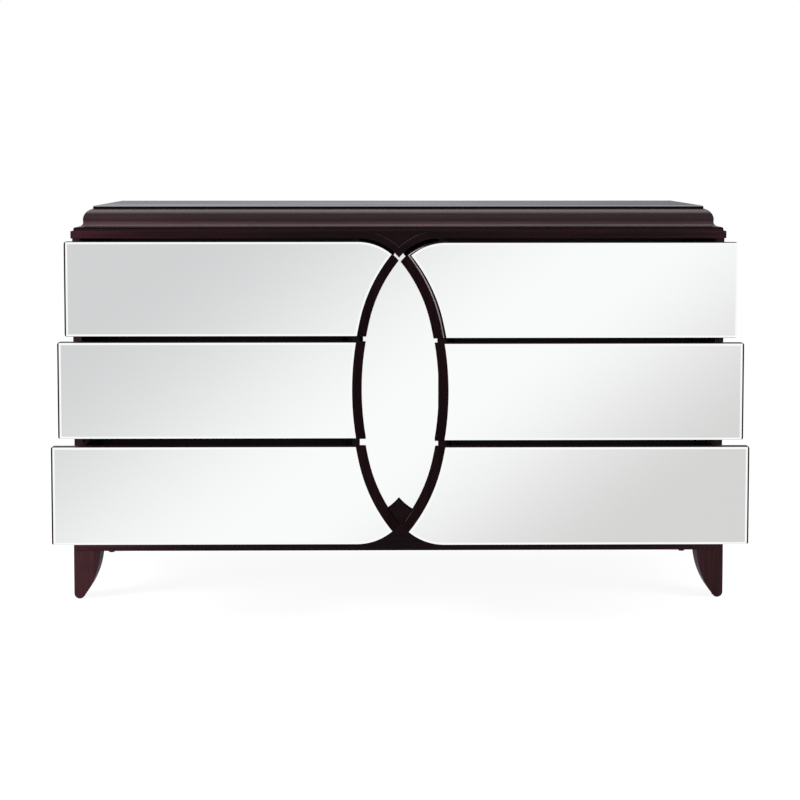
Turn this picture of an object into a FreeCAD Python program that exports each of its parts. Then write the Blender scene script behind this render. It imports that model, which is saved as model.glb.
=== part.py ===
# Six-drawer dresser with mirrored fronts, millimetres, +Z up, the front towards -Y.
# The helpers measure from the plane of the aprons and legs (y = 0) and from the middle (x = 0).
# Each node is moved along y at the end, so that the origin is under the middle of the bounding box.
import FreeCAD, Part
import math
import os

os.makedirs("parts", exist_ok=True)

# Case
case_width = 1524.0
case_depth = 508.0
side_thickness = 20.0
board_thickness = 18.0
back_thickness = 6.0
back_inset = 8.0
overrun = 5.0

# Heights from the floor up: legs, lower apron, three rows of fronts, fillet
leg_height = 114.0
lower_apron_height = 77.2
apron_gap = 2.0
board_height = 215.6
row_reveal = 2.7
fillet_height = 17.1

# Drawer fronts: a board, a bevelled mirror on it, and a curved strip along the inner end
side_reveal = 3.1
corner_radius = 5.0
mirror_thickness = 4.0
bevel_width = 4.5
bevel_depth = 1.0
outer_lip = 4.2
edge_lip = 1.2
glass_gap = 0.3
top_right_slip = 7.6
closing_gap = 1.0
trim_width = 21.1
trim_proud = 2.0
trim_round = 1.2

# Almond left between the columns: each side is a long arc with a tighter arc at either end
almond_half_width = 106.3
almond_middle_radius = 666.0
almond_middle_rise = 152.0
almond_tip_drop = 9.0

# Shoulder of the fronts beside the aprons
shoulder_start = 95.0
shoulder_radius = 120.7

# How far each drawer stands open in the rest pose
top_left_open = 110.0
top_right_open = 153.0
middle_left_open = 205.0
middle_right_open = 234.0
bottom_left_open = 294.0
bottom_right_open = 302.0

# Drawer boxes
box_side_thickness = 12.0
box_rise = 16.0
box_head_room = 32.3
box_rear_gap = 32.0
box_bottom_thickness = 6.0
box_bottom_rise = 10.0
groove_depth = 5.0
groove_clearance = 0.2

# Slides: folded strips, a channel on the case and a runner on the drawer
slide_space = 12.7
slide_start_gap = 31.0
slide_end_gap = 9.0
slide_clearance = 0.4
strip_thickness = 1.5
rail_height = 36.0
rail_lip_gap = 3.2

# Centre of the front and the rails between the rows
centre_margin = 6.8
centre_panel_thickness = 18.0
bay_rail_height = 18.0
bay_rail_depth = 50.0

# Legs and base rails
leg_width = 61.3
leg_depth = 67.0
rear_leg_depth = 22.0
leg_bend_rise = 4.0
leg_bend_radius = 180.0
leg_lean = 34.0
leg_tip_radius = 12.6
base_rail_thickness = 20.0

# Glides under the legs
glide_proud = 1.5
glide_radius = 7.0
glide_thickness = 4.0
glide_clearance = 0.2

# Cornice from the fillet up: step, bead, cove, upright, torus and the edge of the top panel
step_in = 6.0
step_height = 5.5
bead_in = 2.0
bead_height = 2.6
cove_in = 17.5
cove_height = 8.9
upright_height = 5.5
torus_in = 20.5
torus_height = 28.0
top_edge_height = 7.0
top_thickness = 18.0
top_arris = 1.5
ledge_width = 24.0
infill_recess = 1.5

# Screws through the back panel
screw_radius = 1.6
screw_hole_clearance = 0.2
screw_length = 22.0
screw_head_radius = 3.6
screw_head_height = 2.0
screw_edge = 9.0
screws_across = 9
screws_down = 5

# Heights that follow
lower_apron_top = leg_height + lower_apron_height
case_floor = lower_apron_top - board_thickness
fronts_bottom = lower_apron_top + apron_gap
row_pitch = board_height + row_reveal
fronts_top = fronts_bottom + 2 * row_pitch + board_height
middle_height = (fronts_bottom + fronts_top) / 2
cornice_bottom = fronts_top + apron_gap + fillet_height
sub_top_bottom = cornice_bottom - board_thickness
step_top = cornice_bottom + step_height
cove_bottom = step_top + bead_height
cove_top = cove_bottom + cove_height
torus_bottom = cove_top + upright_height
torus_top = torus_bottom + torus_height
case_height = torus_top + top_edge_height
top_underside = case_height - top_thickness

# Widths and depths that follow
half_width = case_width / 2
inner_half_width = half_width - side_thickness
front_half_width = half_width - side_reveal
centre_half_width = almond_half_width - trim_width + centre_margin
partition_outer = centre_half_width + board_thickness
box_outer = inner_half_width - slide_space
box_inner = partition_outer + slide_space
board_back = mirror_thickness + board_thickness
front_zone = board_back + closing_gap
back_front = case_depth - back_inset - back_thickness
back_rear = back_front + back_thickness
box_back = back_front - box_rear_gap
rail_depth = slide_space - rail_lip_gap
runner_height = rail_height - 2 * strip_thickness - 2 * slide_clearance
runner_depth = slide_space - strip_thickness - slide_clearance
top_inset = step_in + bead_in + cove_in + torus_in
hollow_half_width = half_width - top_inset - ledge_width
eighth_turn = math.radians(45)
quarter_turn = math.radians(90)

# Drawers: the row that each is in and how far it stands open, and where that puts the origin
rows = {"bottom": 0, "middle": 1, "top": 2}
open_at_rest = {
    "top_left": top_left_open,
    "top_right": top_right_open,
    "middle_left": middle_left_open,
    "middle_right": middle_right_open,
    "bottom_left": bottom_left_open,
    "bottom_right": bottom_right_open,
}
front_reach = max(open_at_rest.values()) + trim_proud
middle_depth = (case_depth - front_reach) / 2


def point(x, y, z):
    return FreeCAD.Vector(x, y, z)


def block(x0, x1, y0, y1, z0, z1):
    return Part.makeBox(x1 - x0, y1 - y0, z1 - z0, point(x0, y0, z0))


def line(a, b):
    return Part.LineSegment(a, b).toShape()


def arc(a, middle, b):
    return Part.Arc(a, middle, b).toShape()


def on_circle(centre, radius, angle):
    """Point of a circle in the XZ plane, its angle measured from +x towards +z."""
    return centre + point(radius * math.cos(angle), 0, radius * math.sin(angle))


def prism(edges, y0, y1):
    """Solid between two depths from a closed outline drawn in the XZ plane."""
    face = Part.Face(Part.Wire(Part.__sortEdges__(edges)))
    face.translate(point(0, y0, 0))
    return face.extrude(point(0, y1 - y0, 0))


def mirrored(shape):
    """The same piece on the other side of the middle."""
    return shape.mirror(point(0, 0, 0), point(1, 0, 0))


def flipped(shape):
    """The same piece upside down about the middle height of the fronts."""
    return shape.mirror(point(0, 0, middle_height), point(0, 0, 1))


def both_sides(shape):
    return [shape, mirrored(shape)]


def export(name, shapes):
    """Write one node: a single solid, or a group of separate solids."""
    solids = [solid for shape in shapes for solid in shape.Solids]
    node = solids[0] if len(solids) == 1 else Part.makeCompound(solids)
    node = node.copy()
    node.translate(point(0, -middle_depth, 0))
    node.exportStep("parts/" + name + ".step")
    print(name, len(solids), "solids, valid", node.isValid())


# Outline of the almond
almond_half_height = (fronts_top - fronts_bottom) / 2 - almond_tip_drop
bend_angle = math.asin(almond_middle_rise / almond_middle_radius)
middle_centre = point(almond_half_width - almond_middle_radius, 0, 0)
bend = on_circle(middle_centre, almond_middle_radius, bend_angle)
to_tip = point(0, 0, almond_half_height) - bend
tip_offset = -to_tip.x * math.cos(bend_angle) - to_tip.z * math.sin(bend_angle)
almond_end_radius = to_tip.Length ** 2 / (2 * tip_offset)
end_centre = on_circle(bend, -almond_end_radius, bend_angle)


def almond(y0, y1, inward):
    """Almond-shaped prism whose outline is moved towards the middle by inward."""
    middle_radius = almond_middle_radius - inward
    end_radius = almond_end_radius - inward
    tip_angle = math.acos(-end_centre.x / end_radius)
    angles = (bend_angle, (bend_angle + tip_angle) / 2, tip_angle)
    upper_end = arc(*[on_circle(end_centre, end_radius, angle) for angle in angles])
    angles = (-bend_angle, 0, bend_angle)
    middle = arc(*[on_circle(middle_centre, middle_radius, angle) for angle in angles])
    lower_end = upper_end.mirror(point(0, 0, 0), point(0, 0, 1))
    side = [upper_end, middle, lower_end]
    solid = prism(side + [mirrored(edge) for edge in side], y0, y1)
    solid.translate(point(0, 0, middle_height))
    return solid


def under_shoulder(y0, y1, outward):
    """Left-hand region under the line of the fronts' top edge and shoulder, moved out by outward."""
    top = fronts_top + outward
    radius = shoulder_radius + outward
    centre = point(-shoulder_start, 0, top - radius)
    start, halfway, end = [on_circle(centre, radius, angle) for angle in (quarter_turn, eighth_turn, 0)]
    outer_top = point(-half_width - overrun, 0, top)
    outer_bottom = point(-half_width - overrun, 0, middle_height)
    inner_bottom = point(end.x, 0, middle_height)
    edges = [
        line(outer_bottom, outer_top),
        line(outer_top, start),
        arc(start, halfway, end),
        line(end, inner_bottom),
        line(inner_bottom, outer_bottom),
    ]
    return prism(edges, y0, y1).common(block(outer_top.x, 0, y0, y1, middle_height, top))


def front_field(row, y0, y1, margin, side_margin):
    """Left-hand front of a row as a flat prism; the top and bottom rows have a shoulder."""
    bottom = fronts_bottom + row * row_pitch + margin
    top = bottom + board_height - 2 * margin
    plain = block(-front_half_width + side_margin, 0, y0, y1, bottom, top)
    shoulder = under_shoulder(y0, y1, -margin)
    if row == 0:
        return plain.common(flipped(shoulder))
    if row == 2:
        return plain.common(shoulder)
    return plain


def front_board(row):
    """Board of a front, its two outer corners rounded."""
    board = front_field(row, mirror_thickness, board_back, 0, 0)
    corners = [edge for edge in board.Edges
               if edge.BoundBox.XMax < -front_half_width + outer_lip and edge.BoundBox.ZLength < outer_lip]
    return board.makeFillet(corner_radius, corners).cut(almond(mirror_thickness, board_back, trim_width))


def glass_wire(row, inset, slip, y):
    """Outline of a front's mirror at one depth, inset from its edge; slip is how far it sits outwards."""
    lip = max(outer_lip - slip, glass_gap)
    field = front_field(row, y, y + overrun, edge_lip + inset, lip + inset)
    glass = field.cut(almond(y, y + overrun, -glass_gap - inset))
    if slip:
        glass.translate(point(-slip, 0, 0))
        glass = glass.common(field)
    front_faces = [face for face in glass.Faces if face.BoundBox.YMax < y + overrun / 2]
    return front_faces[0].OuterWire


def mirror_sheet(row, slip):
    """Mirror with its front edge ground to a bevel all round."""
    rim = glass_wire(row, 0, slip, bevel_depth)
    ground = Part.makeLoft([glass_wire(row, bevel_width, slip, 0), rim], True, True)
    sheet = Part.Face(rim).extrude(point(0, mirror_thickness - bevel_depth, 0))
    return ground.fuse(sheet).removeSplitter()


def arc_trim(row):
    """Curved strip between the mirror and the board's inner end, its long edges eased."""
    strip = front_field(row, -trim_proud, mirror_thickness, 0, 0)
    strip = strip.common(almond(-trim_proud, mirror_thickness, 0))
    strip = strip.cut(almond(-trim_proud, mirror_thickness, trim_width))
    eased = [edge for edge in strip.Edges
             if edge.BoundBox.YMax < 0 and edge.Curve.TypeId == "Part::GeomCircle"
             and edge.Curve.Radius > shoulder_radius + trim_width]
    return strip.makeFillet(trim_round, eased)


def drawer_box(row):
    """Left-hand drawer box: two sides with two ends between them, and a bottom let into grooves."""
    bottom = fronts_bottom + row * row_pitch + box_rise
    top = fronts_bottom + (row + 1) * row_pitch - box_head_room
    wall = box_side_thickness
    let_in = wall - groove_depth
    floor = bottom + box_bottom_rise
    floor_top = floor + box_bottom_thickness
    groove = block(-box_outer + let_in, -box_inner - let_in, board_back + let_in, box_back - let_in,
                   floor, floor_top)
    clear = let_in + groove_clearance
    panel = block(-box_outer + clear, -box_inner - clear, board_back + clear, box_back - clear,
                  floor, floor_top)
    walls = [
        block(-box_outer, -box_outer + wall, board_back, box_back, bottom, top),
        block(-box_inner - wall, -box_inner, board_back, box_back, bottom, top),
        block(-box_outer + wall, -box_inner - wall, board_back, board_back + wall, bottom, top),
        block(-box_outer + wall, -box_inner - wall, box_back - wall, box_back, bottom, top),
    ]
    return [piece.cut(groove) for piece in walls], [panel]


def channel(row, web_x, mouth_x, height):
    """Folded strip along a slide: its web is at web_x and its flanges reach mouth_x."""
    box_bottom = fronts_bottom + row * row_pitch + box_rise
    box_top = fronts_bottom + (row + 1) * row_pitch - box_head_room
    bottom = (box_bottom + box_top - height) / 2
    top = bottom + height
    y0 = board_back + slide_start_gap
    y1 = box_back - slide_end_gap
    x0, x1 = sorted((web_x, mouth_x))
    way = math.copysign(1, mouth_x - web_x)
    hollow_x0, hollow_x1 = sorted((web_x + way * strip_thickness, mouth_x + way * overrun))
    hollow = block(hollow_x0, hollow_x1, y0 - overrun, y1 + overrun,
                   bottom + strip_thickness, top - strip_thickness)
    return block(x0, x1, y0, y1, bottom, top).cut(hollow)


def rail_pair(row):
    """Left-hand channels of a row, on the side panel and on the partition."""
    return [
        channel(row, -inner_half_width, -inner_half_width + rail_depth, rail_height),
        channel(row, -partition_outer, -partition_outer - rail_depth, rail_height),
    ]


def runner_pair(row):
    """Left-hand runners of a drawer, on the outer faces of its box sides."""
    return [
        channel(row, -box_outer, -box_outer - runner_depth, runner_height),
        channel(row, -box_inner, -box_inner + runner_depth, runner_height),
    ]


# Drawers, each a body that slides; the right-hand column mirrors the left
for row_name, row in rows.items():
    box_walls, box_bottom = drawer_box(row)
    for column in ("left", "right"):
        drawer = row_name + "_" + column
        slip = top_right_slip if drawer == "top_right" else 0
        pieces = {
            "front_board": [front_board(row)],
            "mirror": [mirror_sheet(row, slip)],
            "arc_trim": [arc_trim(row)],
            "box_walls": box_walls,
            "box_bottom": box_bottom,
            "runners": runner_pair(row),
        }
        for piece_name, shapes in pieces.items():
            placed = [shape.copy() if column == "left" else mirrored(shape) for shape in shapes]
            for shape in placed:
                shape.translate(point(0, -open_at_rest[drawer], 0))
            export(drawer + "_" + piece_name, placed)

# Case channels of the slides
slide_rails = []
for row in rows.values():
    for rail in rail_pair(row):
        slide_rails += both_sides(rail)
export("slide_rails", slide_rails)


# Aprons: the upper one follows the closed fronts' shoulders as a band, the lower one as a plain board
def fronts_region(outward):
    """Everything under the fronts' top line, both columns, through the depth of the front."""
    left = under_shoulder(0, front_zone, outward)
    return left.fuse(mirrored(left))


upper_slab = block(-half_width, half_width, 0, front_zone, middle_height, cornice_bottom)
over_band = upper_slab.cut(fronts_region(apron_gap + fillet_height))
export("upper_apron", [upper_slab.cut(fronts_region(apron_gap)).cut(over_band)])
recess = block(-half_width, half_width, 0, infill_recess, middle_height, cornice_bottom)
export("apron_infill", [over_band.cut(recess)])
lower_slab = block(-half_width, half_width, 0, front_zone, leg_height, middle_height)
export("lower_apron", [lower_slab.cut(flipped(fronts_region(apron_gap)))])

# Fixed mirror between the columns, on a panel between the partitions
mirror_rear = front_zone + mirror_thickness
panel_rear = mirror_rear + centre_panel_thickness
export("centre_mirror", [block(-centre_half_width, centre_half_width, front_zone, mirror_rear,
                               lower_apron_top, sub_top_bottom)])
export("centre_panel", [block(-centre_half_width, centre_half_width, mirror_rear, panel_rear,
                              lower_apron_top, sub_top_bottom)])

# Cross rails behind the gaps between the rows
bay_rails = []
for row in (1, 2):
    gap_middle = fronts_bottom + row * row_pitch - row_reveal / 2
    rail = block(-inner_half_width, -partition_outer, front_zone, front_zone + bay_rail_depth,
                 gap_middle - bay_rail_height / 2, gap_middle + bay_rail_height / 2)
    bay_rails += both_sides(rail)
export("bay_rails", bay_rails)


# Screws from behind, through the back panel into the boards that it closes
def screw_shank(x, z, clearance):
    return Part.makeCylinder(screw_radius + clearance, screw_length + clearance,
                             point(x, back_rear, z), point(0, -1, 0))


def screw(x, z):
    head = Part.makeCylinder(screw_head_radius, screw_head_height, point(x, back_rear, z), point(0, 1, 0))
    return screw_shank(x, z, 0).fuse(head)


screw_places = []
outermost = inner_half_width - screw_edge
for i in range(screws_across):
    x = -outermost + 2 * outermost * i / (screws_across - 1)
    for z in (case_floor + screw_edge, cornice_bottom - screw_edge):
        screw_places.append((x, z))
for i in range(screws_down):
    z = lower_apron_top + (sub_top_bottom - lower_apron_top) * (i + 1) / (screws_down + 1)
    for x in (-centre_half_width - board_thickness / 2, centre_half_width + board_thickness / 2):
        screw_places.append((x, z))
holes = Part.makeCompound([screw_shank(x, z, screw_hole_clearance) for x, z in screw_places])
export("back_screws", [screw(x, z) for x, z in screw_places])

# Boards and panels of the case
back_panel = block(-inner_half_width, inner_half_width, back_front, back_rear, case_floor, cornice_bottom)
back_panel = back_panel.fuse(block(-hollow_half_width, hollow_half_width, back_front, back_rear,
                                   cornice_bottom, top_underside)).removeSplitter()
sub_top = block(-inner_half_width, inner_half_width, front_zone, back_front, sub_top_bottom, cornice_bottom)
case_bottom = block(-inner_half_width, inner_half_width, front_zone, back_front,
                    case_floor, lower_apron_top)
partition = block(-partition_outer, -centre_half_width, front_zone, back_front,
                  lower_apron_top, sub_top_bottom)
side_panel = block(-half_width, -inner_half_width, front_zone, case_depth, case_floor, cornice_bottom)
export("back_panel", [back_panel.cut(holes)])
export("sub_top", [sub_top.cut(holes)])
export("case_bottom", [case_bottom.cut(holes)])
export("partition_left", [partition.cut(holes)])
export("partition_right", [mirrored(partition).cut(holes)])
export("side_panel_left", [side_panel])
export("side_panel_right", [mirrored(side_panel)])


# Legs: an upright outer face, and an inner face that curves in to a rounded tip
def leg_outline():
    """Left leg's outline, with its outer face at x = 0."""
    lean = math.radians(leg_lean)
    bend_start = point(leg_width, 0, leg_height + leg_bend_rise)
    bend_centre = bend_start - point(leg_bend_radius, 0, 0)
    bend_halfway = on_circle(bend_centre, leg_bend_radius, -lean / 2)
    bend_end = on_circle(bend_centre, leg_bend_radius, -lean)
    tip_centre = point(leg_tip_radius, 0, glide_proud + leg_tip_radius)
    to_bend = bend_end - tip_centre
    touch_angle = math.atan2(to_bend.z, to_bend.x) - math.acos(leg_tip_radius / to_bend.Length)
    touch = on_circle(tip_centre, leg_tip_radius, touch_angle)
    sole = on_circle(tip_centre, leg_tip_radius, (touch_angle - 2 * quarter_turn) / 2)
    outer_touch = point(0, 0, tip_centre.z)
    outer_top = point(0, 0, case_floor)
    inner_top = point(leg_width, 0, case_floor)
    return [
        line(outer_touch, outer_top),
        line(outer_top, inner_top),
        line(inner_top, bend_start),
        arc(bend_start, bend_halfway, bend_end),
        line(bend_end, touch),
        arc(touch, sole, outer_touch),
    ]


def leg(y0, y1):
    post = prism(leg_outline(), y0, y1)
    post.translate(point(-half_width, 0, 0))
    seat = Part.makeCylinder(glide_radius + glide_clearance, glide_thickness + glide_clearance,
                             point(-half_width + leg_tip_radius, (y0 + y1) / 2, 0))
    return post.cut(seat)


rear_start = case_depth - rear_leg_depth
apron_notch = block(-half_width, 0, 0, front_zone, leg_height, case_floor)
front_leg = leg(0, leg_depth).cut(apron_notch)
export("front_left_leg", [front_leg])
export("front_right_leg", [mirrored(front_leg)])
export("rear_legs", both_sides(leg(rear_start, case_depth)))
glides = []
for y in (leg_depth / 2, rear_start + rear_leg_depth / 2):
    glide = Part.makeCylinder(glide_radius, glide_thickness, point(-half_width + leg_tip_radius, y, 0))
    glides += both_sides(glide)
export("leg_glides", glides)
side_rail = block(-half_width, -half_width + base_rail_thickness, leg_depth, rear_start,
                  leg_height, case_floor)
rear_rail = block(-half_width + leg_width, half_width - leg_width,
                  case_depth - base_rail_thickness, case_depth, leg_height, case_floor)
export("base_rails", both_sides(side_rail) + [rear_rail])


# Cornice moulding, mitred at the front corners
def moulding_outline():
    """Section of the moulding: x is the inset from the outer face, z the height."""
    cove_centre = point(step_in + bead_in, 0, cove_top)
    cove_low = point(step_in + bead_in, 0, cove_bottom)
    cove_high = point(step_in + bead_in + cove_in, 0, cove_top)
    cove_halfway = cove_centre + point(cove_in * math.cos(eighth_turn), 0,
                                       -cove_height * math.sin(eighth_turn))
    torus_low = point(cove_high.x, 0, torus_bottom)
    torus_high = point(top_inset, 0, torus_top)
    torus_halfway = point(top_inset - torus_in * math.cos(eighth_turn), 0,
                          torus_bottom + torus_height * math.sin(eighth_turn))
    corners = [
        cove_low,
        point(step_in, 0, step_top),
        point(step_in, 0, cornice_bottom),
        point(top_inset + ledge_width, 0, cornice_bottom),
        point(top_inset + ledge_width, 0, top_underside),
        point(top_inset, 0, top_underside),
        torus_high,
    ]
    edges = [line(a, b) for a, b in zip(corners, corners[1:])]
    edges.append(arc(torus_high, torus_halfway, torus_low))
    edges.append(line(torus_low, cove_high))
    edges.append(arc(cove_high, cove_halfway, cove_low))
    return edges


def mitre_wedge(along_x, along_y):
    """Wedge between the left front corner's mitre and the point at these distances from the corner."""
    corner = point(-half_width, 0, cornice_bottom)
    inner_end = corner + point(mitre_reach, mitre_reach, 0)
    outline = Part.makePolygon([corner, inner_end, corner + point(along_x, along_y, 0), corner])
    return Part.Face(outline).extrude(point(0, 0, case_height - cornice_bottom))


mitre_reach = top_inset + ledge_width + overrun
front_wedge = mitre_wedge(mitre_reach, 0)
side_wedge = mitre_wedge(0, mitre_reach)
side_moulding = prism(moulding_outline(), 0, case_depth)
side_moulding.translate(point(-half_width, 0, 0))
side_moulding = side_moulding.cut(front_wedge)
front_moulding = prism(moulding_outline(), 0, case_width)
front_moulding.rotate(point(0, 0, 0), point(0, 0, 1), math.degrees(quarter_turn))
front_moulding.translate(point(half_width, 0, 0))
front_moulding = front_moulding.cut(side_wedge).cut(mirrored(side_wedge))
export("cornice_left", [side_moulding])
export("cornice_right", [mirrored(side_moulding)])
export("cornice_front", [front_moulding])

# Top panel, its front and side edges eased
top_panel = block(-half_width + top_inset, half_width - top_inset, top_inset, case_depth,
                  top_underside, case_height)
eased = [edge for edge in top_panel.Edges
         if edge.BoundBox.ZMin > case_height - top_arris and edge.BoundBox.YMin < case_depth - top_arris]
export("top_panel", [top_panel.makeChamfer(top_arris, eased)])
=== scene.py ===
# Six-drawer dresser with mirrored fronts in espresso wood, dressed over its packed construction model.
# Metres, +Z up, the front towards -Y. The sections follow the dresser as it is put together.
import bmesh
import bpy
import math
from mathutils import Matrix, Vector


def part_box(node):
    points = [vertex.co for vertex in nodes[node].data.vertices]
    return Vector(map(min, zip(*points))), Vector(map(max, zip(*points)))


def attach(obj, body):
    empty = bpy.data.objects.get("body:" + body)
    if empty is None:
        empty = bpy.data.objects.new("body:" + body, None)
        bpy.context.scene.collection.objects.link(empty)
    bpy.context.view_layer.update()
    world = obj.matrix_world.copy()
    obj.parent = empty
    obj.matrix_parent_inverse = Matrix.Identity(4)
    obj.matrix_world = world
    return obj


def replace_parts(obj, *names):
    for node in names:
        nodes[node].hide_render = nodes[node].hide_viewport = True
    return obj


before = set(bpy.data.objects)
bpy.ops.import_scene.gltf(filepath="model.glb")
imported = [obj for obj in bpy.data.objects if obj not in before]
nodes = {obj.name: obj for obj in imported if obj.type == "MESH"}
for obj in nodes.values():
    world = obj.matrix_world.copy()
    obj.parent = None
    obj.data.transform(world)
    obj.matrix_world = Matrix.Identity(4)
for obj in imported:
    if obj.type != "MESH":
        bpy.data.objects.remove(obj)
scene = bpy.context.scene
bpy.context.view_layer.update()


# Legs
# Four posts of solid rubberwood, upright outside and curved in to a rounded tip, glued under the case.
# They have the reddest stain on the piece, sprayed lacquer over it, and edges sanded round by hand.
def socket_named(sockets, name):
    """The socket with this identifier, or else the first with this name."""
    by_identifier = [socket for socket in sockets if socket.identifier == name]
    by_name = [socket for socket in sockets if socket.name == name]
    return (by_identifier + by_name)[0]


def add_node(tree, kind, settings=None, **inputs):
    """Add a shader node; an input is given a value, or the output that feeds it."""
    made = tree.nodes.new("ShaderNode" + kind)
    for setting, value in (settings or {}).items():
        setattr(made, setting, value)
    for name, value in inputs.items():
        socket = socket_named(made.inputs, name.replace("__", " "))
        if isinstance(value, bpy.types.NodeSocket):
            tree.links.new(value, socket)
        else:
            socket.default_value = value
    return made


def worked(tree, operation, a, b=0.0, c=0.0):
    """Output of a maths operation on up to three values."""
    made = add_node(tree, "Math", {"operation": operation}, Value=a, Value_001=b, Value_002=c)
    return made.outputs["Value"]


def mixed_colour(tree, share, a, b, blend="MIX"):
    """Colour output of a with this share of b mixed in, or blended in another way."""
    made = add_node(tree, "Mix", {"data_type": "RGBA", "blend_type": blend}, Factor_Float=share,
                    A_Color=a, B_Color=b)
    return socket_named(made.outputs, "Result_Color")


def graded(tree, factor, stops):
    """Colour output that runs through the stops, each a position and a colour or a grey."""
    ramp = add_node(tree, "ValToRGB", Fac=factor)
    elements = ramp.color_ramp.elements
    while len(elements) < len(stops):
        elements.new(0.5)
    for element, (position, colour) in zip(elements, stops):
        red, green, blue = colour if isinstance(colour, tuple) else (colour, colour, colour)
        element.position = position
        element.color = (red, green, blue, 1)
    return ramp.outputs["Color"]


def ranged(tree, value, low, high, start=0.3, end=0.7):
    """A value brought to run from low to high; a texture's value lies about a half."""
    settings = {"From__Min": start, "From__Max": end, "To__Min": low, "To__Max": high}
    return add_node(tree, "MapRange", Value=value, **settings).outputs["Result"]


def speckle(tree, scale, detail=3.0, distortion=0.0):
    """Noise on the piece's own coordinates; scale is how many patches there are in a metre."""
    where = add_node(tree, "TexCoord").outputs["Object"]
    stretch = add_node(tree, "Mapping", Vector=where, Scale=scale)
    noise = add_node(tree, "TexNoise", Vector=stretch.outputs["Vector"],
                     Scale=1.0, Detail=detail, Distortion=distortion)
    return noise.outputs["Fac"]


def start_finish(name, **values):
    """New material with fixed values on its shader; gives the material, its tree and the shader."""
    finish = bpy.data.materials.new(name)
    finish.use_nodes = True
    shader = finish.node_tree.nodes["Principled BSDF"]
    for value_name, value in values.items():
        shader.inputs[value_name.replace("__", " ")].default_value = value
    return finish, finish.node_tree, shader


def add_bump(tree, shader, height, distance, strength):
    """Small relief on a finish; distance is how deep the height goes, in metres."""
    bump = add_node(tree, "Bump", Height=height, Distance=distance, Strength=strength)
    tree.links.new(bump.outputs["Normal"], shader.inputs["Normal"])


def along(grain, long_scale, cross_scale):
    """Scale of a streak pattern that runs along the grain's axis, or level round a corner for XY."""
    return [long_scale if axis in grain else cross_scale for axis in "XYZ"]


def facing_share(tree, axis):
    """How far a surface faces along an axis, either way, from 0 to 1."""
    facing = add_node(tree, "NewGeometry").outputs["True Normal"]
    return worked(tree, "ABSOLUTE", add_node(tree, "SeparateXYZ", Vector=facing).outputs[axis])


def shares_along(tree, axis, stops):
    """Grey that runs through the stops, each a distance from zero along an axis and a share."""
    place = add_node(tree, "TexCoord").outputs["Object"]
    distance = worked(tree, "ABSOLUTE", add_node(tree, "SeparateXYZ", Vector=place).outputs[axis])
    first, last = stops[0][0], stops[-1][0]
    reach = ranged(tree, distance, 0.0, 1.0, first, last)
    return graded(tree, reach, [((level - first) / (last - first), share) for level, share in stops])


def stained_wood(name, grain, ground, glaze, roughness=0.24, gloss=0.06, edge_gloss=None,
                 arris_gloss=0.0, painted_light_heights=(), painted_shade_across=()):
    """Lacquered espresso wood: a brown ground, darker streaks, open pores and a soft sheen.

    Edge gloss is for faces that don't face the front or back; an arris is a sloping edge polished brighter.
    Painted light heights say how strong the colour is at each height, a painted light and shade; the gloss
    goes with it where it is weak.
    Painted shade across says how strong the colour is at each distance from the middle of the dresser; it
    is a painted shade.
    """
    finish, tree, shader = start_finish(name, Specular__IOR__Level=gloss)
    streaks = speckle(tree, along(grain, 3.5, 95.0), 5.0, distortion=0.5)
    clouds = speckle(tree, along(grain, 2.0, 9.0), 2.0)
    pores = speckle(tree, along(grain, 45.0, 900.0), 2.0)
    middle = tuple((a + b) / 2 for a, b in zip(ground, glaze))
    stain = graded(tree, streaks, [(0.32, glaze), (0.5, middle), (0.68, ground)])
    colour = mixed_colour(tree, ranged(tree, clouds, 0.0, 0.35), stain, (*glaze, 1))
    colour = mixed_colour(tree, 0.8, colour, graded(tree, pores, [(0.3, 0.55), (0.42, 1.0)]), "MULTIPLY")
    if painted_light_heights:
        strength = shares_along(tree, "Z", painted_light_heights)
        colour = mixed_colour(tree, 1.0, colour, strength, "MULTIPLY")
        tree.links.new(ranged(tree, strength, 0.0, gloss, 0.08, 0.3), shader.inputs["Specular IOR Level"])
    if painted_shade_across:
        colour = mixed_colour(tree, 1.0, colour, shares_along(tree, "X", painted_shade_across), "MULTIPLY")
    if edge_gloss is not None:
        lacquered = ranged(tree, facing_share(tree, "Y"), edge_gloss, gloss, 0.4, 0.6)
        tree.links.new(lacquered, shader.inputs["Specular IOR Level"])
    if arris_gloss:
        polish = [(0.3, gloss), (0.5, arris_gloss), (0.9, arris_gloss), (0.97, gloss)]
        tree.links.new(graded(tree, facing_share(tree, "Z"), polish), shader.inputs["Specular IOR Level"])
    tree.links.new(colour, shader.inputs["Base Color"])
    tree.links.new(ranged(tree, clouds, roughness - 0.04, roughness + 0.05), shader.inputs["Roughness"])
    add_bump(tree, shader, pores, 0.00006, 0.5)
    return finish


def add_piece(name, mesh, finish, body):
    """New piece with its place in its mesh; it takes the finish and moves with the body."""
    mesh.materials.clear()
    mesh.materials.append(finish)
    piece = bpy.data.objects.new(name, mesh)
    scene.collection.objects.link(piece)
    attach(piece, body)
    return piece


def eased(name, finish, body="case"):
    """Copy of a wooden node with its sharp edges sanded round; it stands for the node."""
    copy = bmesh.new()
    copy.from_mesh(nodes[name].data)
    bmesh.ops.remove_doubles(copy, verts=copy.verts, dist=0.000001)
    bmesh.ops.dissolve_limit(copy, angle_limit=math.radians(0.4), verts=copy.verts, edges=copy.edges)
    for face in copy.faces:
        face.smooth = True
    for edge in copy.edges:
        edge.smooth = edge.calc_face_angle(0) < math.radians(30)
    mesh = bpy.data.meshes.new(name + "_eased")
    copy.to_mesh(mesh)
    copy.free()
    piece = add_piece(name + "_eased", mesh, finish, body)
    sanding = piece.modifiers.new("sanding", "BEVEL")
    sanding.width = 0.0009
    sanding.segments = 2
    sanding.limit_method = "ANGLE"
    sanding.angle_limit = math.radians(40)
    sanding.harden_normals = True
    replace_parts(piece, name)
    return piece


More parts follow.
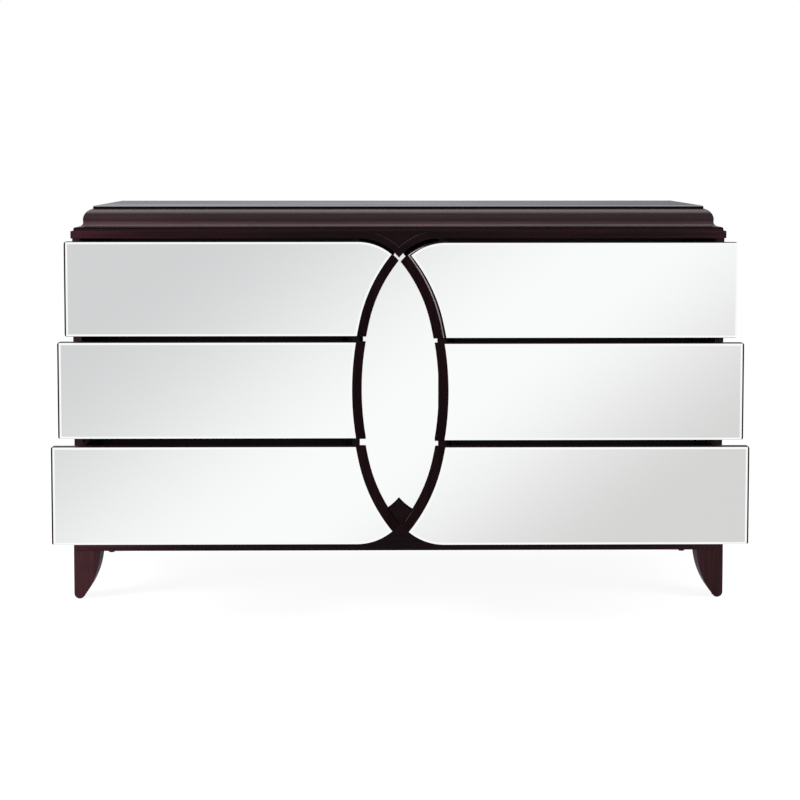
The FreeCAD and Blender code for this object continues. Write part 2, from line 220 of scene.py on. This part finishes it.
def dress(finish, *names):
    """Give these nodes a finish as they are."""
    for name in names:
        for material_slot in nodes[name].material_slots:
            material_slot.material = finish


leg_wood = stained_wood("leg_wood", "Z", (0.057, 0.018, 0.022), (0.027, 0.010, 0.012), edge_gloss=0.003)
for name in ("front_left_leg", "front_right_leg", "rear_legs"):
    eased(name, leg_wood)

# Glides
# A turned nylon disc is tapped into a seat under each leg.
# It is moulded dark, and stands a little proud so that the wood never touches the floor.
nylon, tree, shader = start_finish("moulded_nylon", Specular__IOR__Level=0.4)
shade = graded(tree, speckle(tree, [600.0] * 3), [(0.3, 0.012), (0.7, 0.022)])
tree.links.new(shade, shader.inputs["Base Color"])
tree.links.new(ranged(tree, speckle(tree, [900.0] * 3), 0.4, 0.55), shader.inputs["Roughness"])
dress(nylon, "leg_glides")

# Base rails and lower apron
# Rails between the legs carry the case; the front one rises to a point between the columns.
# They are poplar, stained like the legs, with their cut edges left bare; the front one is painted darker
# towards the middle, a painted shade under the drawers.
rail_wood_shaded = stained_wood("rail_wood_shaded", "X", (0.048, 0.012, 0.019), (0.014, 0.0058, 0.0073), edge_gloss=0.0,
                         painted_shade_across=[(0.0, 0.42), (0.25, 0.45), (0.5, 0.68), (0.74, 1.0)])
lower_apron = eased("lower_apron", rail_wood_shaded)
dress(stained_wood("base_wood", "XY", (0.046, 0.015, 0.019), (0.021, 0.008, 0.010)), "base_rails")

# Case boards
# Side panels are stained veneer on board with upright grain; the boards inside are plain and dark.
# They are doweled and glued to the rails, and the boards inside have a thinner, duller coat.
side_wood = stained_wood("side_wood", "Z", (0.032, 0.012, 0.015), (0.012, 0.006, 0.007))
inside_wood = stained_wood("inside_wood", "X", (0.012, 0.006, 0.006), (0.005, 0.003, 0.003),
                           roughness=0.5, gloss=0.1)
eased("side_panel_left", side_wood)
eased("side_panel_right", side_wood)
dress(inside_wood, "partition_left", "partition_right", "sub_top", "case_bottom", "bay_rails",
      "centre_panel")

# Back panel
# A sheet of dark-faced hardboard, let in behind the sides and screwed to the boards it closes.
# Its face has a fine fibre fleck and almost no gloss.
hardboard, tree, shader = start_finish("dark_hardboard", Specular__IOR__Level=0.25)
fibres = speckle(tree, [260.0, 260.0, 190.0], 5.0, distortion=0.8)
tree.links.new(graded(tree, fibres, [(0.3, (0.016, 0.011, 0.009)), (0.55, (0.030, 0.021, 0.017)),
                                     (0.75, (0.046, 0.033, 0.026))]), shader.inputs["Base Color"])
tree.links.new(ranged(tree, fibres, 0.6, 0.75), shader.inputs["Roughness"])
add_bump(tree, shader, fibres, 0.0001, 0.6)
dress(hardboard, "back_panel")

# Slides
# Each drawer runs on a pair of folded steel strips: a channel on the case and a runner on the box.
# The strips are bright zinc plate, rolled along their length.
zinc, tree, shader = start_finish("zinc_plate", Metallic=1.0)
rolling = speckle(tree, along("Y", 6.0, 1400.0), 3.0)
tarnish = speckle(tree, [35.0] * 3, 4.0)
tree.links.new(graded(tree, tarnish, [(0.3, (0.34, 0.35, 0.37)), (0.7, (0.52, 0.53, 0.55))]),
               shader.inputs["Base Color"])
tree.links.new(ranged(tree, rolling, 0.24, 0.42), shader.inputs["Roughness"])
add_bump(tree, shader, rolling, 0.00003, 0.4)
dress(zinc, "slide_rails", *[name for name in nodes if name.endswith("_runners")])


# Screws
# Pan-head wood screws with a cross recess hold the back panel and the runners.
# They are blackened steel, and each stopped at its own turn of the driver.
head_radius = 0.0036
head_height = 0.0020
shank_radius = 0.0016
shank_length = 0.0205
cross_floor = 0.0009


def screw_solid():
    """Screw along +Z with the underside of its head at 0: a domed head, its cross and a plain shank."""
    turned = bmesh.new()
    around = 16

    def ring(radius, height):
        angles = [2 * math.pi * i / around for i in range(around)]
        return [turned.verts.new((radius * math.cos(angle), radius * math.sin(angle), height))
                for angle in angles]

    def skin(lower, upper):
        for i in range(len(lower)):
            after = (i + 1) % len(lower)
            turned.faces.new((lower[i], lower[after], upper[after], upper[i]))

    rings = [ring(0.0009, -shank_length), ring(shank_radius, -0.018), ring(shank_radius, 0),
             ring(head_radius, 0), ring(0.0035, 0.0008), ring(0.0029, 0.0016), ring(0.0020, head_height)]
    for lower, upper in zip(rings, rings[1:]):
        skin(lower, upper)
    turned.faces.new(rings[0])
    arm, half = 0.0014, 0.00035
    quarter = [(arm, -half), (arm, half), (half, half)]
    cross = []
    for turn in range(4):
        for x, y in quarter:
            cross.append((x, y))
        quarter = [(-y, x) for x, y in quarter]
    mouth = [turned.verts.new((x, y, head_height)) for x, y in cross]
    floor_of_cross = [turned.verts.new((x * 0.7, y * 0.7, cross_floor)) for x, y in cross]
    skin(floor_of_cross, mouth)
    turned.faces.new(floor_of_cross)
    turned.edges.ensure_lookup_table()
    loops = set(rings[-1]) | set(mouth)
    rim = [edge for edge in turned.edges if set(edge.verts) <= loops]
    bmesh.ops.triangle_fill(turned, use_beauty=True, edges=rim)
    bmesh.ops.recalc_face_normals(turned, faces=turned.faces)
    mesh = bpy.data.meshes.new("screw_solid")
    turned.to_mesh(mesh)
    turned.free()
    pattern = bpy.data.objects.new("screw_pattern", mesh)
    scene.collection.objects.link(pattern)
    return pattern


def screw_tree():
    """Geometry Nodes tree that sets a screw at each point, facing the point's way, at a random turn."""
    tree = bpy.data.node_groups.new("set_screws", "GeometryNodeTree")
    for name, direction, kind in (("Points", "INPUT", "Geometry"), ("Screw", "INPUT", "Object"),
                                  ("Size", "INPUT", "Float"), ("Seed", "INPUT", "Int"),
                                  ("Finish", "INPUT", "Material"), ("Screws", "OUTPUT", "Geometry")):
        tree.interface.new_socket(name, in_out=direction, socket_type="NodeSocket" + kind)

    def add(kind, **settings):
        made = tree.nodes.new(kind)
        for setting, value in settings.items():
            setattr(made, setting, value)
        return made

    given = add("NodeGroupInput")
    facing = add("GeometryNodeInputNamedAttribute", data_type="FLOAT_VECTOR")
    facing.inputs["Name"].default_value = "facing"
    aligned = add("FunctionNodeAlignRotationToVector", axis="Z")
    turn = add("FunctionNodeRandomValue", data_type="FLOAT")
    socket_named(turn.inputs, "Max_001").default_value = math.pi
    spin = add("FunctionNodeAxisAngleToRotation")
    spin.inputs["Axis"].default_value = (0, 0, 1)
    turned = add("FunctionNodeRotateRotation", rotation_space="LOCAL")
    pattern = add("GeometryNodeObjectInfo")
    placed = add("GeometryNodeInstanceOnPoints")
    real = add("GeometryNodeRealizeInstances")
    finished = add("GeometryNodeSetMaterial")
    result = add("NodeGroupOutput")
    for source, sink in (
        (socket_named(facing.outputs, "Attribute"), aligned.inputs["Vector"]),
        (given.outputs["Seed"], socket_named(turn.inputs, "Seed")),
        (socket_named(turn.outputs, "Value_001"), spin.inputs["Angle"]),
        (aligned.outputs["Rotation"], turned.inputs["Rotation"]),
        (spin.outputs["Rotation"], turned.inputs["Rotate By"]),
        (given.outputs["Screw"], pattern.inputs["Object"]),
        (given.outputs["Points"], placed.inputs["Points"]),
        (pattern.outputs["Geometry"], placed.inputs["Instance"]),
        (turned.outputs["Rotation"], placed.inputs["Rotation"]),
        (given.outputs["Size"], placed.inputs["Scale"]),
        (placed.outputs["Instances"], real.inputs["Geometry"]),
        (real.outputs["Geometry"], finished.inputs["Geometry"]),
        (given.outputs["Finish"], finished.inputs["Material"]),
        (finished.outputs["Geometry"], result.inputs["Screws"]),
    ):
        tree.links.new(source, sink)
    return tree


def set_screws(name, places, seed, body, size=1.0):
    """One piece of screws; each place is the middle of a head's underside and the way the head faces."""
    points = bpy.data.meshes.new(name + "_places")
    points.from_pydata([place for place, facing in places], [], [])
    facings = points.attributes.new("facing", "FLOAT_VECTOR", "POINT")
    for entry, (place, facing) in zip(facings.data, places):
        entry.vector = facing
    holder = bpy.data.objects.new(name + "_places", points)
    scene.collection.objects.link(holder)
    setting = holder.modifiers.new("setting", "NODES")
    setting.node_group = screw_setting
    values = {"Screw": screw_pattern, "Size": size, "Seed": seed, "Finish": black_steel}
    for item in screw_setting.interface.items_tree:
        if item.name in values:
            setting[item.identifier] = values[item.name]
    evaluated = holder.evaluated_get(bpy.context.evaluated_depsgraph_get())
    mesh = bpy.data.meshes.new_from_object(evaluated)
    bpy.data.objects.remove(holder)
    return add_piece(name, mesh, black_steel, body)


black_steel, tree, shader = start_finish("blackened_steel", Metallic=1.0)
wear = speckle(tree, [1500.0] * 3, 3.0)
tree.links.new(graded(tree, wear, [(0.35, (0.05, 0.05, 0.055)), (0.7, (0.16, 0.16, 0.17))]),
               shader.inputs["Base Color"])
tree.links.new(ranged(tree, wear, 0.28, 0.45), shader.inputs["Roughness"])
screw_pattern = screw_solid()
screw_setting = screw_tree()

# The back panel has a row of nine along its top and its bottom, and five up each partition.
across_count = 9
upright_count = 5
half_partition = 0.009
head_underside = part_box("back_panel")[1][1]
screws_low, screws_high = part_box("back_screws")
first_x, last_x = screws_low[0] + head_radius, screws_high[0] - head_radius
low_row, high_row = screws_low[2] + head_radius, screws_high[2] - head_radius
back_places = []
for i in range(across_count):
    x = first_x + (last_x - first_x) * i / (across_count - 1)
    for z in (low_row, high_row):
        back_places.append(((x, head_underside, z), (0, 1, 0)))
opening_low, opening_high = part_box("centre_panel")
partition_middle = opening_high[0] + half_partition
for i in range(upright_count):
    z = opening_low[2] + (opening_high[2] - opening_low[2]) * (i + 1) / (upright_count + 1)
    for x in (-partition_middle, partition_middle):
        back_places.append(((x, head_underside, z), (0, 1, 0)))
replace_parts(set_screws("back_screw_set", back_places, 7, "case"), "back_screws")

# Three smaller screws hold each runner strip, set through its web into the side of the box.
web_depth = 0.0093
runner_screw_size = 0.85
first_runner_seed = 20
drawers = [name[:-len("_runners")] for name in nodes if name.endswith("_runners")]
for number, drawer in enumerate(drawers):
    low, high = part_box(drawer + "_runners")
    middle = (low[2] + high[2]) / 2
    runner_places = []
    for share in (0.12, 0.5, 0.88):
        y = low[1] + (high[1] - low[1]) * share
        runner_places.append(((low[0] + web_depth, y, middle), (-1, 0, 0)))
        runner_places.append(((high[0] - web_depth, y, middle), (1, 0, 0)))
    set_screws(drawer + "_runner_screws", runner_places, first_runner_seed + number, drawer + "_drawer",
               runner_screw_size)
bpy.data.objects.remove(screw_pattern)


# Upper apron
# A shaped rail that follows the tops of the drawer fronts down to a point between the columns.
# A thin filler board closes the space over the point, and a fine raised line runs along either side,
# coloured light as a painted highlight.
def arc_path(centre, radius, start, end, steps=24):
    """Points of an arc in the plane of the front, its angles in degrees from +x towards +z."""
    angles = [math.radians(start + (end - start) * i / steps) for i in range(steps + 1)]
    return [(centre[0] + radius * math.cos(angle), centre[1] + radius * math.sin(angle))
            for angle in angles]


def raised_line(name, path, width, rise, seat, finish, body, fade=0.0):
    """Half-round bead on an upright face at y = seat; it narrows over the last share of its length."""
    across_line = [-1.0, -0.6, 0.0, 0.6, 1.0]
    narrowest = 0.15
    last = len(path) - 1
    bead = bmesh.new()
    rows = []
    for i, (x, z) in enumerate(path):
        before, after = path[max(i - 1, 0)], path[min(i + 1, last)]
        way = Vector((after[0] - before[0], after[1] - before[1])).normalized()
        left = (last - i) / last
        half = width / 2 * (min(1.0, narrowest + left / fade) if fade else 1.0)
        row = []
        for t in across_line:
            y = seat - rise * math.sqrt(1 - t * t)
            row.append(bead.verts.new((x - way.y * half * t, y, z + way.x * half * t)))
        rows.append(row)
    for row, next_row in zip(rows, rows[1:]):
        for i in range(len(across_line)):
            after = (i + 1) % len(across_line)
            bead.faces.new((row[i], row[after], next_row[after], next_row[i]))
    bead.faces.new(rows[0])
    bead.faces.new(rows[-1])
    bmesh.ops.recalc_face_normals(bead, faces=bead.faces)
    mesh = bpy.data.meshes.new(name)
    bead.to_mesh(mesh)
    bead.free()
    return add_piece(name, mesh, finish, body)


# The apron and its filler board take the same finish, with its painted shade darker towards the middle.
eased("upper_apron", rail_wood_shaded)
dress(rail_wood_shaded, "apron_infill")
shoulder_start = 0.095
shoulder_middle = 0.7247
line_radius = 0.1392
painted_highlight_line = stained_wood("painted_highlight_line", "X", (0.085, 0.072, 0.078), (0.055, 0.044, 0.050), gloss=0.2)
apron_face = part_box("upper_apron")[0][1]
left_line = arc_path((-shoulder_start, shoulder_middle), line_radius, 48, 76)
right_line = arc_path((shoulder_start, shoulder_middle), line_radius, 134, 102)
raised_line("apron_line_left", left_line, 0.0008, 0.0004, apron_face, painted_highlight_line, "case", fade=0.7)
raised_line("apron_line_right", right_line, 0.0010, 0.0005, apron_face, painted_highlight_line, "case", fade=0.5)

# Cornice
# Moulded poplar on three sides: step, bead, cove, upright and torus, mitred at the front corners.
# It is glued on top of the case; its colour is lightest in the cove as painted light and darkest in the
# quirk below as painted shade.
cornice_low, cornice_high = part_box("cornice_front")
quirk_top = cornice_low[2] + 0.0078
cove_top = cornice_low[2] + 0.0170
painted_light_by_height = [
    (cornice_low[2], 0.2), (cornice_low[2] + 0.0050, 0.2), (cornice_low[2] + 0.0056, 0.08),
    (quirk_top, 0.08), (quirk_top + 0.0006, 0.22), (quirk_top + 0.0025, 0.42), (quirk_top + 0.0048, 0.24),
    (quirk_top + 0.0070, 0.65), (cove_top, 1.0), (cove_top + 0.0025, 1.0), (cove_top + 0.0055, 0.3),
    (cornice_high[2], 0.3)]
cornice_ground = (0.086, 0.037, 0.044)
cornice_glaze = (0.050, 0.020, 0.027)
cornice_wood = stained_wood("cornice_wood", "X", cornice_ground, cornice_glaze, gloss=0.2,
                            painted_light_heights=painted_light_by_height)
cornice_side_wood = stained_wood("cornice_side_wood", "Y", cornice_ground, cornice_glaze, gloss=0.2,
                                 painted_light_heights=painted_light_by_height)
dress(cornice_wood, "cornice_front")
dress(cornice_side_wood, "cornice_left", "cornice_right")

# Top panel
# A flat veneered board laid in the cornice, with eased edges and the glossiest coat of the piece.
# The gloss makes it mirror the room along the grazing view from the front.
top_wood = stained_wood("top_wood", "X", (0.006, 0.004, 0.006), (0.003, 0.002, 0.003), roughness=0.2,
                        gloss=0.03, arris_gloss=0.9)
dress(top_wood, "top_panel")

# Centre mirror
# Plain silvered glass, held on its panel between the partitions, with a faint haze and green cut edges.
# A thin dark border on it brings the top of the almond to a point.
mirror, tree, shader = start_finish("silvered_glass", Metallic=1.0)
haze = speckle(tree, [7.0, 7.0, 11.0], 4.0)
green_edge, silver = (0.10, 0.16, 0.13), (0.955, 0.965, 0.965)
tree.links.new(graded(tree, facing_share(tree, "Y"), [(0.3, green_edge), (0.6, silver)]),
               shader.inputs["Base Color"])
tree.links.new(ranged(tree, haze, 0.004, 0.018), shader.inputs["Roughness"])
dress(mirror, "centre_mirror")

middle_height = 0.5193
border_outer = 0.0925
border_foot = 0.04
border_height = 0.2868
border_rows = 80
border_back, border_front = 0.0001, 0.0008
border_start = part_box("centre_mirror")[0][1]


def arc_reach(radius, rise):
    """How far an arc reaches sideways from its centre, this far above or below it."""
    return math.sqrt(max(radius ** 2 - rise ** 2, 0.0))


def opening_half_width(side, offset):
    """Half the width of the mirror inside its border at this height above the middle of the fronts."""
    # On the left the border comes further in over the upper part, a painted reflection of the dark drawer
    # backs.
    widest = 0.084 if side < 0 and offset > 0.07 else 0.090
    return min(widest, max(0.0, arc_reach(0.3926, offset - 0.0312) - 0.2843))


def apron_half_width(offset):
    """Half the width of the apron's point at this height, plus a small clearance."""
    return max(0.0, 0.0956 - arc_reach(0.1227, max(0.0, offset - 0.2054)))


def add_border_strip(border, side, inner_edge):
    """One strip of the border; its inner edge is a list of heights and half widths from the middle."""
    rows = []
    for offset, inner in inner_edge:
        row = []
        for depth in (border_front, border_back):
            for x in (side * inner, side * border_outer):
                row.append(border.verts.new((x, border_start - depth, middle_height + offset)))
        rows.append(row)
    for row, above in zip(rows, rows[1:]):
        for a, b in ((0, 1), (1, 3), (3, 2), (2, 0)):
            border.faces.new((row[a], row[b], above[b], above[a]))
    for row in (rows[0], rows[-1]):
        border.faces.new((row[0], row[1], row[3], row[2]))


border = bmesh.new()
offsets = [border_foot + border_height * i / border_rows for i in range(border_rows + 1)]
for side in (-1, 1):
    add_border_strip(border, side, [
        (offset, max(opening_half_width(side, offset), apron_half_width(offset))) for offset in offsets])
# This short strip on the left below the middle is a dark sheet standing for the drawer backs' reflection, a
# painted reflection.
add_border_strip(border, -1, [(-0.13, 0.0868), (-0.09, 0.0868)])
bmesh.ops.recalc_face_normals(border, faces=border.faces)
border_mesh = bpy.data.meshes.new("almond_border")
border.to_mesh(border_mesh)
border.free()
border_wood = stained_wood("border_wood", "Z", (0.008, 0.004, 0.004), (0.003, 0.002, 0.002), gloss=0.0)
add_piece("almond_border", border_mesh, border_wood, "case")

# Drawer boxes
# Four boards and a bottom let into grooves, stained dark inside and out and left almost without gloss.
# The grain runs along the sides; the bottom is thin plywood.
box_wood = stained_wood("box_wood", "Y", (0.012, 0.007, 0.006), (0.005, 0.003, 0.003),
                        roughness=0.45, gloss=0.06)
box_names = [name for name in nodes if name.endswith(("_box_walls", "_box_bottom"))]
dress(box_wood, *box_names)

# Drawer fronts
# A board with rounded outer corners carries a bevelled mirror, and a curved strip closes its inner end.
# The mirror is bonded on, leaving a dark lip at the outer end; the strip is glued beside it.
front_wood = stained_wood("front_wood", "X", (0.016, 0.006, 0.007), (0.005, 0.002, 0.003), gloss=0.03)
trim_wood = stained_wood("trim_wood", "Z", (0.013, 0.004, 0.005), (0.004, 0.0015, 0.002), gloss=0.03)
dress(trim_wood, *[name for name in nodes if name.endswith("_arc_trim")])
dress(mirror, *[name for name in nodes if name.endswith("_mirror")])
front_pieces = [nodes[name] for name in nodes if name.endswith(("_arc_trim", "_mirror"))]
front_pieces += [nodes[name] for name in box_names] + [lower_apron]
for drawer in drawers:
    front_pieces.append(eased(drawer + "_front_board", front_wood, drawer + "_drawer"))

# The top right mirror was bonded off its mark; a bead in the gap beside it is coloured light as a painted
# highlight.
gap_highlight, tree, shader = start_finish("painted_gap_highlight", Specular__IOR__Level=0.5, IOR=1.45)
highlight_tone = speckle(tree, [120.0] * 3, 3.0)
tree.links.new(graded(tree, highlight_tone, [(0.3, (0.62, 0.52, 0.55)), (0.7, (0.80, 0.70, 0.73))]),
               shader.inputs["Base Color"])
tree.links.new(ranged(tree, highlight_tone, 0.2, 0.35), shader.inputs["Roughness"])
tip_arc_x = -0.2625
upper_tip, lower_tip = (tip_arc_x, 0.5890), (tip_arc_x, 0.4496)
side_path = arc_path((-0.5597, middle_height), 0.6677, 9.6, 13.0, 8)
side_path += arc_path(upper_tip, 0.3624, 13.3, 38.8)
shoulder_path = arc_path((shoulder_start, shoulder_middle), 0.1182, 129.6, 107, 12)
board_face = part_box("top_right_mirror")[1][1]
front_pieces.append(raised_line("top_right_sealant", side_path, 0.0032, 0.0005, board_face, gap_highlight,
                                "top_right_drawer"))
front_pieces.append(raised_line("top_right_sealant_shoulder", shoulder_path, 0.0016, 0.0004, board_face,
                                gap_highlight, "top_right_drawer", fade=0.9))

# The strip on the bottom right front has a short light bead near its lower end, a painted highlight.
highlight_path = arc_path(lower_tip, 0.3400, -36.5, -31)
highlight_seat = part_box("bottom_right_arc_trim")[0][1] + 0.0002
front_pieces.append(raised_line("bottom_right_worn_edge", highlight_path, 0.0008, 0.0002, highlight_seat, painted_highlight_line,
                                "bottom_right_drawer", fade=0.6))

# The mirrors show the large soft light without the lower apron and the other drawers across it.
for piece in front_pieces:
    piece.visible_glossy = False

# Floor
# A plain pale studio floor. It is left white behind the object and keeps its soft shadow.
floor_mesh = bpy.data.meshes.new("floor")
floor_mesh.from_pydata([(-40, -40, 0), (40, -40, 0), (40, 40, 0), (-40, 40, 0)], [], [(0, 1, 2, 3)])
floor = bpy.data.objects.new("floor", floor_mesh)
scene.collection.objects.link(floor)
floor.visible_glossy = False
paper, tree, shader = start_finish("white_paper", Roughness=0.8, Specular__IOR__Level=0.0)
shader.inputs["Base Color"].default_value = (0.9, 0.9, 0.9, 1)
glow = add_node(tree, "Emission", Color=(1, 1, 1, 1), Strength=1.16)
camera_share = worked(tree, "MULTIPLY", add_node(tree, "LightPath").outputs["Is Camera Ray"], 0.8)
mixed = add_node(tree, "MixShader", Fac=camera_share, Shader=shader.outputs["BSDF"],
                 Shader_001=glow.outputs["Emission"])
tree.links.new(mixed.outputs["Shader"], tree.nodes["Material Output"].inputs["Surface"])
floor_mesh.materials.append(paper)


# Studio light
# Three soft boxes and a pale room. Glossy surfaces see a wide diagonal light in front of the dresser,
# with white round it and pale grey further out, and a room behind that darkens towards the right.
def soft_box(name, place, aim, width, height, power):
    lamp = bpy.data.lights.new(name, "AREA")
    lamp.shape = "RECTANGLE"
    lamp.size = width
    lamp.size_y = height
    lamp.energy = power
    box = bpy.data.objects.new(name, lamp)
    box.location = place
    box.rotation_euler = (Vector(aim) - Vector(place)).to_track_quat("-Z", "Y").to_euler()
    scene.collection.objects.link(box)
    return box


def soft_step(tree, value, start, end):
    """Share that rises smoothly from 0 at the start to 1 at the end."""
    made = add_node(tree, "MapRange", {"interpolation_type": "SMOOTHSTEP"}, Value=value,
                    From__Min=start, From__Max=end)
    return made.outputs["Result"]


soft_box("overhead_box", (0, 0.15, 3.0), (0, 0.2, 0), 3.4, 1.9, 85)
left_box = soft_box("left_box", (-2.3, -0.9, 1.0), (-0.6, 0, 0.4), 1.0, 1.7, 72)
right_box = soft_box("right_box", (2.3, -0.9, 1.0), (0.6, 0, 0.4), 1.0, 1.7, 26)
for box in (left_box, right_box):
    box.visible_glossy = False

room = bpy.data.worlds.new("room")
scene.world = room
room.use_nodes = True
tree = room.node_tree
tree.nodes.clear()
direction = add_node(tree, "TexCoord").outputs["Generated"]
parts = add_node(tree, "SeparateXYZ", Vector=direction).outputs
forward = worked(tree, "MAXIMUM", worked(tree, "MULTIPLY", parts["Y"], -1.0), 0.04)
across = worked(tree, "DIVIDE", parts["X"], forward)
upward = worked(tree, "DIVIDE", parts["Z"], forward)
slant = worked(tree, "MULTIPLY_ADD", upward, -1.25, across)
level_reach = worked(tree, "ABSOLUTE", worked(tree, "ADD", upward, 0.12))
reach = worked(tree, "MAXIMUM", worked(tree, "ABSOLUTE", across), worked(tree, "ADD", level_reach, 0.1))
past_light = soft_step(tree, reach, 0.23, 0.31)
round_light = graded(tree, worked(tree, "MULTIPLY", reach, 0.5), [(0.42, 1.0), (0.55, 0.80), (1.0, 0.75)])
cool_side, warm_side = (0.667, 0.672, 0.677, 1), (0.694, 0.687, 0.680, 1)
bright_line = (0.996, 0.996, 0.996, 1)
front_light = mixed_colour(tree, soft_step(tree, slant, -0.05, 0.20), cool_side, bright_line)
front_light = mixed_colour(tree, soft_step(tree, slant, 0.22, 0.42), front_light, warm_side)
front_light = mixed_colour(tree, past_light, front_light, round_light)
low_wall, high_wall = (0.69, 0.66, 0.74), (0.96, 0.88, 0.92)
upper_back = graded(tree, parts["Z"], [(0.0, low_wall), (0.08, low_wall), (0.5, high_wall), (1.0, 1.0)])
right_fall = ranged(tree, parts["X"], 1.0, 0.64, 0.02, 0.17)
back_light = mixed_colour(tree, 1.0, upper_back, right_fall, "MULTIPLY")
behind = soft_step(tree, parts["Y"], -0.15, 0.1)
seen_in_gloss = mixed_colour(tree, behind, front_light, back_light)
gloss_background = add_node(tree, "Background", Color=seen_in_gloss, Strength=1.0)
ambient = add_node(tree, "Background", Color=(0.97, 0.98, 1.0, 1), Strength=0.4)
white = add_node(tree, "Background", Color=(1, 1, 1, 1), Strength=1.0)
path = add_node(tree, "LightPath").outputs
gloss_share = worked(tree, "MAXIMUM", path["Is Glossy Ray"], path["Is Transmission Ray"])
lit = add_node(tree, "MixShader", Fac=gloss_share, Shader=ambient.outputs["Background"],
               Shader_001=gloss_background.outputs["Background"])
shown = add_node(tree, "MixShader", Fac=path["Is Camera Ray"], Shader=lit.outputs["Shader"],
                 Shader_001=white.outputs["Background"])
add_node(tree, "OutputWorld", Surface=shown.outputs["Shader"])

# Camera
# A long lens a little above the top panel and left of the middle, as in the photograph.
lens = bpy.data.cameras.new("camera")
lens.sensor_width = 36.0
lens.lens = 79.404
lens.shift_y = -0.17
lens.clip_start = 0.1
lens.clip_end = 100.0
camera = bpy.data.objects.new("camera", lens)
camera.location = (-0.0443, -4.1956, 1.04137)
camera.rotation_euler = (math.pi / 2 - 0.06187, 0, -0.01135)
scene.collection.objects.link(camera)
scene.camera = camera

scene.view_settings.view_transform = "Standard"
